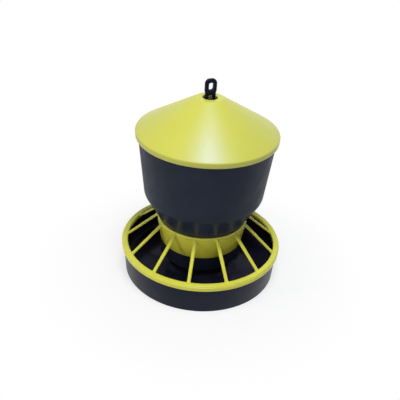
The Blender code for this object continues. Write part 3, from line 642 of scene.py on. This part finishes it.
def flat_bar(rows, open_rows, thickness, top_inner=HOLE_WIDTH / 2):
    """An upright bar from (height, half width) rows, with a hole through each open row."""
    places = []
    for number, (height, half) in enumerate(rows):
        inner = top_inner if number == len(rows) - 1 else HOLE_WIDTH / 2
        places += [Vector((reach, 0.0, height)) for reach in (-half, -inner, inner, half)]
    holes = [Vector((0.0, 0.0, (rows[row][0] + rows[row + 1][0]) / 2)) for row in open_rows]
    shape = pierced_plate(4, places, holes, thickness)
    middle = sum(vert.co.y for vert in shape.verts) / len(shape.verts)
    bmesh.ops.translate(shape, verts=shape.verts, vec=(0.0, -middle, 0.0))
    return shape


def through_edges(shape, thickness, test):
    """Edges that run through a bar's thickness at a bend and pass a test of their place."""
    return [edge for edge in shape.edges
            if abs(edge.verts[0].co.y - edge.verts[1].co.y) > thickness / 2
            and edge.calc_face_angle(0.0) > BEND_ANGLE and test(edge.verts[0].co)]


def rim_edges(shape, test):
    """Sharp edges round a bar's two broad faces that pass a test of their middle."""
    return [edge for edge in shape.edges
            if edge.calc_face_angle(0.0) > CORNER_ANGLE
            and abs(edge.verts[0].co.y - edge.verts[1].co.y) < WELD
            and test((edge.verts[0].co + edge.verts[1].co) / 2)]


def hanger_strap():
    """The strap with its tip, its shoulders, and its foot hole and row of holes."""
    half = STRAP_WIDTH / 2
    shoulder_half = SHOULDER_WIDTH / 2
    hole_half = LADDER_HOLE_LENGTH / 2
    shoulder_foot = BOSS_HEIGHT + TOUCH_GAP
    shoulder_top = shoulder_foot + SHOULDER_HEIGHT
    rows = [(STRAP_TIP_HEIGHT, half), (FOOT_HOLE_HEIGHT - hole_half, half),
            (FOOT_HOLE_HEIGHT + hole_half, half), (shoulder_foot, half),
            (shoulder_foot, shoulder_half), (shoulder_top, shoulder_half),
            (shoulder_top + SHOULDER_SLOPE, half)]
    open_rows = [1]
    for index in range(LADDER_HOLE_COUNT):
        middle = LADDER_FOOT_HEIGHT + LADDER_PITCH * index
        open_rows.append(len(rows))
        rows += [(middle - hole_half, half), (middle + hole_half, half)]
    rows.append((STRAP_TOP_HEIGHT, half))
    strap = flat_bar(rows, open_rows, STRAP_THICKNESS)
    holes = through_edges(strap, STRAP_THICKNESS, lambda co: abs(co.x) < HOLE_REACH)
    round_edges(strap, holes, STRAP_HOLE_ROUND)
    tip = through_edges(strap, STRAP_THICKNESS, lambda co: co.z < STRAP_TIP_HEIGHT + WELD)
    round_edges(strap, tip, STRAP_TIP_ROUND)
    round_edges(strap, rim_edges(strap, lambda co: co.z < STRAP_TOP_HEIGHT - WELD),
                STRAP_RIM_ROUND)
    return strap


def hanger_head():
    """The rounder head with the first pin hole and, above it, the eye."""
    head_half = HEAD_WIDTH / 2
    eye_half = EYE_WIDTH / 2
    eye_top = EYE_TOP_HEIGHT - EYE_HOLE_TOP_MARGIN
    eye_foot = eye_top - EYE_HOLE_LENGTH
    hole_foot = HEAD_HOLE_HEIGHT - HEAD_HOLE_LENGTH / 2
    head = flat_bar([
        (HEAD_FOOT_HEIGHT, head_half),
        (hole_foot, head_half),
        (hole_foot + HEAD_HOLE_LENGTH, head_half),
        (eye_foot - EYE_SWELL_START, head_half),
        (eye_foot - EYE_SWELL_END, eye_half),
        (eye_foot, eye_half),
        (eye_top, eye_half),
        (EYE_TOP_HEIGHT, eye_half),
    ], (1, 5), HEAD_THICKNESS, EYE_CROWN_HALF)
    for vert in head.verts:
        if abs(vert.co.z - eye_top) < WELD and abs(vert.co.x) > HOLE_REACH:
            vert.co.z -= EYE_SHOULDER_DROP

    def by_hole(co):
        return abs(co.x) < HOLE_REACH and hole_foot - WELD < co.z < eye_top + WELD

    def at_crown(co):
        return abs(co.x) > HOLE_REACH and co.z > EYE_TOP_HEIGHT - WELD

    round_edges(head, through_edges(head, HEAD_THICKNESS, by_hole), HEAD_HOLE_ROUND)
    round_edges(head, through_edges(head, HEAD_THICKNESS, at_crown), EYE_CROWN_ROUND)
    round_edges(head, rim_edges(head, lambda co: not by_hole(co)), HEAD_RIM_ROUND, False)
    round_edges(head, rim_edges(head, by_hole), HEAD_HOLE_RIM_ROUND, False)
    return head


def model_hanger(finish):
    """The hanger: a strap and its head in one moulding."""
    strap, head = hanger_strap(), hanger_head()
    for shape in (strap, head):
        bmesh.ops.transform(shape, matrix=Matrix.Rotation(STRAP_TURN, 4, 'Z'), verts=shape.verts)
    hanger = as_object("hanger_strap", strap)
    join_solid(hanger, as_object("hanger_head", head), 'UNION')
    finish_piece(hanger, "base", "hanger_black", "hanger", finish)


def model_bridge(finish):
    """The crossbar: two rails, webs between them and solid ends that lie in the rim's notches."""
    half = BRIDGE_SLOT_HALF + BRIDGE_RAIL_WIDTH
    end = math.sqrt((HOPPER_TOP_RADIUS - BRIDGE_END_PLAY) ** 2 - half ** 2)
    pitch = (end - BRIDGE_END_LENGTH - BRIDGE_STOP) / BRIDGE_WEB_COUNT
    pockets = [(BRIDGE_STOP + BRIDGE_WEB + pitch * index, BRIDGE_STOP + pitch * (index + 1))
               for index in range(BRIDGE_WEB_COUNT)]
    spans = [(-far, -near) for near, far in reversed(pockets)]
    spans += [(-BRIDGE_STOP, BRIDGE_STOP), *pockets]
    columns = [-end, *(reach for span in spans for reach in span), end]
    top = BRIDGE_FOOT_HEIGHT + BRIDGE_RAIL_HEIGHT
    places = [Vector((column, line, top))
              for line in (-half, -BRIDGE_SLOT_HALF, BRIDGE_SLOT_HALF, half) for column in columns]
    holes = [Vector((sum(span) / 2, 0.0, top)) for span in spans]
    shape = pierced_plate(len(columns), places, holes, BRIDGE_RAIL_HEIGHT)
    low = min(vert.co.z for vert in shape.verts)
    bmesh.ops.translate(shape, verts=shape.verts, vec=(0.0, 0.0, BRIDGE_FOOT_HEIGHT - low))
    corners = [edge for edge in shape.edges if edge.calc_face_angle(0.0) > CORNER_ANGLE]
    round_edges(shape, corners, BRIDGE_EDGE_ROUND)
    bmesh.ops.transform(shape, matrix=Matrix.Rotation(STRAP_TURN, 4, 'Z'), verts=shape.verts)
    finish_piece(as_object("bridge_bar", shape), "hopper_unit", "fittings_black", "bridge", finish)


def model_pin(name, height, body, node, finish):
    """A round pin with a head, lying across the strap."""
    shape = turned_outline([
        (0.0, PIN_REACH + PIN_HEAD_LENGTH),
        (PIN_HEAD_RADIUS, PIN_REACH + PIN_HEAD_LENGTH, PIN_HEAD_ROUNDING),
        (PIN_HEAD_RADIUS, PIN_REACH, FINE_EDGE),
        (PIN_RADIUS, PIN_REACH, HAIR_EDGE),
        (PIN_RADIUS, -PIN_REACH + PIN_TIP, FINE_EDGE),
        (PIN_RADIUS - PIN_TIP, -PIN_REACH, FINE_EDGE),
        (0.0, -PIN_REACH),
    ], PIN_STEPS, closed=False)
    place = Matrix.Translation((0.0, 0.0, height)) @ Matrix.Rotation(STRAP_TURN, 4, 'Z')
    place = place @ Matrix.Rotation(math.radians(90), 4, 'X')
    bmesh.ops.transform(shape, matrix=place, verts=shape.verts)
    finish_piece(as_object(name, shape), body, "fittings_black", node, finish)


class Plastic:
    """A moulded plastic whose nodes all read the piece's own Object coordinates."""

    def __init__(self, name, specular, sheen):
        self.material = bpy.data.materials.new(name)
        self.material.use_nodes = True
        self.nodes = self.material.node_tree.nodes
        self.link = self.material.node_tree.links.new
        self.shader = self.nodes["Principled BSDF"]
        self.shader.inputs["Specular IOR Level"].default_value = specular
        self.shader.inputs["Specular Tint"].default_value = sheen
        self.place = self.nodes.new("ShaderNodeTexCoord").outputs["Object"]
        self.normal = None

    def cloud(self, scale, detail):
        """Soft noise of the given scale."""
        noise = self.nodes.new("ShaderNodeTexNoise")
        noise.inputs["Scale"].default_value = scale
        noise.inputs["Detail"].default_value = detail
        self.link(self.place, noise.inputs["Vector"])
        return noise.outputs["Fac"]

    def spread(self, value, low, high, known=NOISE_RANGE):
        """Carry a value over from its known range to another."""
        ramp = self.nodes.new("ShaderNodeMapRange")
        ramp.inputs["From Min"].default_value = known[0]
        ramp.inputs["From Max"].default_value = known[1]
        ramp.inputs["To Min"].default_value = low
        ramp.inputs["To Max"].default_value = high
        self.link(value, ramp.inputs["Value"])
        return ramp.outputs["Result"]

    def blend(self, amount, first, second):
        """Mix two colours, each a colour or a socket."""
        mix = self.nodes.new("ShaderNodeMix")
        mix.data_type = 'RGBA'
        self.link(amount, mix.inputs["Factor"])
        for socket, colour in zip(MIX_COLOURS, (first, second)):
            if isinstance(colour, tuple):
                mix.inputs[socket].default_value = colour
            else:
                self.link(colour, mix.inputs[socket])
        return mix.outputs[MIX_RESULT]

    def painted_edge_highlight(self, strength):
        """Painted highlight on edges: how far an edge stands out, from 0 on a face to the strength
        on a sharp ridge.
        """
        geometry = self.nodes.new("ShaderNodeNewGeometry")
        return self.spread(geometry.outputs["Pointiness"], 0.0, strength, RIDGE_RANGE)

    def relief(self, value, distance, strength):
        """Add a fine relief over those before it."""
        bump = self.nodes.new("ShaderNodeBump")
        bump.inputs["Distance"].default_value = distance
        bump.inputs["Strength"].default_value = strength
        self.link(value, bump.inputs["Height"])
        if self.normal is not None:
            self.link(self.normal, bump.inputs["Normal"])
        self.normal = bump.outputs["Normal"]
        self.link(self.normal, self.shader.inputs["Normal"])

    def colour(self, socket):
        """Set the colour."""
        self.link(socket, self.shader.inputs["Base Color"])

    def roughness(self, socket):
        """Set the roughness."""
        self.link(socket, self.shader.inputs["Roughness"])


def yellow_plastic(name, body, deep, edge, specular, rough, grain, grain_depth):
    """Yellow polypropylene: slightly clouded colour, edges paled as a painted highlight, and a
    fine grain if it's deep.
    """
    plastic = Plastic(name, specular, YELLOW_SHEEN)
    clouds = plastic.spread(plastic.cloud(CLOUD_SCALE, detail=2.0), low=0.0, high=1.0)
    clouded = plastic.blend(clouds, body, deep)
    fine = plastic.cloud(grain, detail=2.0)
    speckled = plastic.blend(plastic.spread(fine, low=0.0, high=0.04), clouded, edge)
    # Sharp ridges turn towards the edge colour: a painted highlight.
    plastic.colour(plastic.blend(plastic.painted_edge_highlight(strength=0.25), speckled, edge))
    plastic.roughness(plastic.spread(plastic.cloud(YELLOW_PATCH_SCALE, detail=3.0), *rough))
    plastic.relief(plastic.cloud(YELLOW_WAVE_SCALE, detail=1.0), YELLOW_WAVINESS, strength=0.10)
    if grain_depth > 0.0:
        plastic.relief(fine, grain_depth, strength=0.6)
    plastic.shader.inputs["Subsurface Weight"].default_value = YELLOW_LIGHT_SHARE
    plastic.shader.inputs["Subsurface Radius"].default_value = YELLOW_DEPTH_OF_LIGHT
    plastic.shader.inputs["Subsurface Scale"].default_value = 1.0
    return plastic.material


def black_plastic(name, body, pale, specular, rough, grain, grain_depth, waviness):
    """Black polypropylene: a grained or polished face with faint paler clouds, and edges paled as
    a painted highlight.
    """
    plastic = Plastic(name, specular, BLACK_SHEEN)
    clouds = plastic.spread(plastic.cloud(CLOUD_SCALE, detail=4.0), low=0.0, high=0.45)
    clouded = plastic.blend(clouds, body, pale)
    fine = plastic.cloud(grain, detail=2.0)
    specks = plastic.spread(fine, low=0.0, high=0.35, known=SPECK_RANGE)
    speckled = plastic.blend(specks, clouded, pale)
    # Sharp ridges turn towards the pale colour: a painted highlight.
    plastic.colour(plastic.blend(plastic.painted_edge_highlight(strength=0.5), speckled, pale))
    plastic.roughness(plastic.spread(plastic.cloud(BLACK_PATCH_SCALE, detail=3.0), *rough))
    plastic.relief(plastic.cloud(BLACK_WAVE_SCALE, detail=1.0), waviness, strength=0.25)
    plastic.relief(fine, grain_depth, strength=0.7)
    return plastic.material


def set_camera():
    """The photograph's view: from the front, about 32 degrees up, leaning a little."""
    lens = bpy.data.cameras.new("view")
    lens.lens = LENS_LENGTH
    lens.sensor_width = SENSOR_WIDTH
    lens.clip_start = NEAREST_SEEN
    lens.clip_end = FARTHEST_SEEN
    camera = bpy.data.objects.new("view", lens)
    bpy.context.scene.collection.objects.link(camera)
    back = Vector(CAMERA_BACK).normalized()
    right = Vector(CAMERA_RIGHT)
    right = (right - right.dot(back) * back).normalized()
    turn = Matrix((right, back.cross(right), back)).transposed().to_4x4()
    camera.matrix_world = Matrix.Translation(CAMERA_PLACE) @ turn
    bpy.context.scene.camera = camera


def soft_light(name, place, width, depth, power, colour, mirrored):
    """A panel of light that faces the feeder, which the gloss may mirror or not."""
    lamp = bpy.data.lights.new(name, 'AREA')
    lamp.shape = 'RECTANGLE'
    lamp.size = width
    lamp.size_y = depth
    lamp.energy = power
    lamp.color = colour
    light = bpy.data.objects.new(name, lamp)
    bpy.context.scene.collection.objects.link(light)
    light.location = place
    light.rotation_euler = (LIGHT_AIM - Vector(place)).to_track_quat('-Z', 'Y').to_euler()
    light.visible_glossy = mirrored


def seen_directly(nodes, links):
    """1 for camera, glossy and transmission rays, which see the white background."""
    path = nodes.new("ShaderNodeLightPath")
    either = path.outputs["Is Camera Ray"]
    for name in ("Is Glossy Ray", "Is Transmission Ray"):
        larger = nodes.new("ShaderNodeMath")
        larger.operation = 'MAXIMUM'
        links.new(either, larger.inputs[0])
        links.new(path.outputs[name], larger.inputs[1])
        either = larger.outputs["Value"]
    return either


def mix_shaders(nodes, links, share, first, second, target):
    """Send two shaders, mixed by a share, to an output."""
    mix = nodes.new("ShaderNodeMixShader")
    links.new(share, mix.inputs["Fac"])
    links.new(first, mix.inputs[1])
    links.new(second, mix.inputs[2])
    links.new(mix.outputs["Shader"], target)


def set_background():
    """A white surround for what the camera and the gloss see, and a dim one that lights."""
    world = bpy.data.worlds.new("studio")
    bpy.context.scene.world = world
    world.use_nodes = True
    nodes, links = world.node_tree.nodes, world.node_tree.links
    seen = seen_directly(nodes, links)
    dim = nodes["Background"]
    dim.inputs["Color"].default_value = SURROUND_COLOUR
    dim.inputs["Strength"].default_value = SURROUND_LEVEL
    white = nodes.new("ShaderNodeBackground")
    white.inputs["Color"].default_value = WHITE
    white.inputs["Strength"].default_value = 1.0
    mix_shaders(nodes, links, seen, dim.outputs["Background"], white.outputs["Background"],
                nodes["World Output"].inputs["Surface"])


def lay_floor():
    """A pale floor that keeps the feeder's shadow and fades to white around it."""
    shape = bmesh.new()
    bmesh.ops.create_circle(shape, cap_ends=True, segments=FLOOR_STEPS, radius=FLOOR_RADIUS)
    bmesh.ops.translate(shape, verts=shape.verts, vec=(0.0, 0.0, -FLOOR_DEPTH))
    floor = as_object("studio_floor", shape)
    material = bpy.data.materials.new("studio_floor")
    material.use_nodes = True
    nodes, links = material.node_tree.nodes, material.node_tree.links
    shader = nodes["Principled BSDF"]
    shader.inputs["Base Color"].default_value = FLOOR_COLOUR
    shader.inputs["Roughness"].default_value = FLOOR_ROUGHNESS
    shader.inputs["Specular IOR Level"].default_value = 0.0
    white = nodes.new("ShaderNodeEmission")
    white.inputs["Strength"].default_value = 1.0
    place = nodes.new("ShaderNodeTexCoord")
    distance = nodes.new("ShaderNodeVectorMath")
    distance.operation = 'LENGTH'
    links.new(place.outputs["Object"], distance.inputs[0])
    fade = nodes.new("ShaderNodeMapRange")
    fade.interpolation_type = 'SMOOTHSTEP'
    fade.inputs["From Min"].default_value = FADE_START_RADIUS
    fade.inputs["From Max"].default_value = FADE_END_RADIUS
    fade.inputs["To Min"].default_value = FADE_START
    fade.inputs["To Max"].default_value = 1.0
    links.new(distance.outputs["Value"], fade.inputs["Value"])
    share = nodes.new("ShaderNodeMath")
    share.operation = 'MULTIPLY'
    links.new(fade.outputs["Result"], share.inputs[0])
    links.new(seen_directly(nodes, links), share.inputs[1])
    mix_shaders(nodes, links, share.outputs["Value"], shader.outputs["BSDF"],
                white.outputs["Emission"], nodes["Material Output"].inputs["Surface"])
    floor.data.materials.append(material)


# The plastics. Rough is a lowest and a highest roughness, grain the grain's scale.
lid_plastic = yellow_plastic(
    "lid_satin_yellow", body=(0.572, 0.566, 0.068, 1), deep=(0.564, 0.557, 0.062, 1),
    edge=(0.74, 0.77, 0.30, 1), specular=0.70, rough=(0.36, 0.40),
    grain=900.0, grain_depth=0.00005)
grill_plastic = yellow_plastic(
    "grill_gloss_yellow", body=(0.720, 0.700, 0.072, 1), deep=(0.712, 0.692, 0.068, 1),
    edge=(0.74, 0.75, 0.16, 1), specular=0.34, rough=(0.25, 0.28),
    grain=1100.0, grain_depth=0.0)
hopper_plastic = black_plastic(
    "hopper_grained_black", body=(0.019, 0.023, 0.037, 1), pale=(0.028, 0.033, 0.051, 1),
    specular=0.12, rough=(0.44, 0.54), grain=1300.0, grain_depth=0.00010, waviness=0.0004)
funnel_plastic = black_plastic(
    "funnel_satin_black", body=(0.013, 0.017, 0.034, 1), pale=(0.019, 0.025, 0.046, 1),
    specular=0.40, rough=(0.28, 0.36), grain=1300.0, grain_depth=0.00002, waviness=0.0003)
pan_wall_plastic = black_plastic(
    "pan_satin_black", body=(0.005, 0.006, 0.012, 1), pale=(0.012, 0.013, 0.027, 1),
    specular=0.18, rough=(0.34, 0.42), grain=1300.0, grain_depth=0.00005, waviness=0.0004)
# The pan's inside is polished. Its colour, brighter and bluer than the outer wall's, is painted
# light and painted reflection.
pan_floor_plastic = black_plastic(
    "pan_polished_black_painted_light", body=(0.010, 0.010, 0.020, 1), pale=(0.020, 0.019, 0.044, 1),
    specular=0.10, rough=(0.14, 0.22), grain=700.0, grain_depth=0.00001, waviness=0.0002)
hanger_plastic = black_plastic(
    "hanger_black", body=(0.004, 0.005, 0.010, 1), pale=(0.010, 0.013, 0.030, 1),
    specular=0.10, rough=(0.18, 0.24), grain=1500.0, grain_depth=0.00002, waviness=0.0003)
fittings_plastic = black_plastic(
    "fittings_black", body=(0.008, 0.009, 0.012, 1), pale=(0.020, 0.022, 0.030, 1),
    specular=0.40, rough=(0.34, 0.44), grain=1500.0, grain_depth=0.00003, waviness=0.0004)

set_camera()
set_background()
lay_floor()
for panel in PANELS:
    soft_light(*panel)

model_lid(lid_plastic)
model_hopper(hopper_plastic, funnel_plastic)
model_feed_pan(pan_wall_plastic, pan_floor_plastic)
model_grill(grill_plastic)
model_hanger(hanger_plastic)
model_bridge(fittings_plastic)
model_pin("gap_pin_round", GAP_PIN_HEIGHT, "gap_pin_unit", "gap_pin", fittings_plastic)
model_pin("foot_pin_round", FOOT_PIN_HEIGHT, "foot_pin_unit", "foot_pin", fittings_plastic)

bpy.context.scene.view_settings.view_transform = 'Standard'
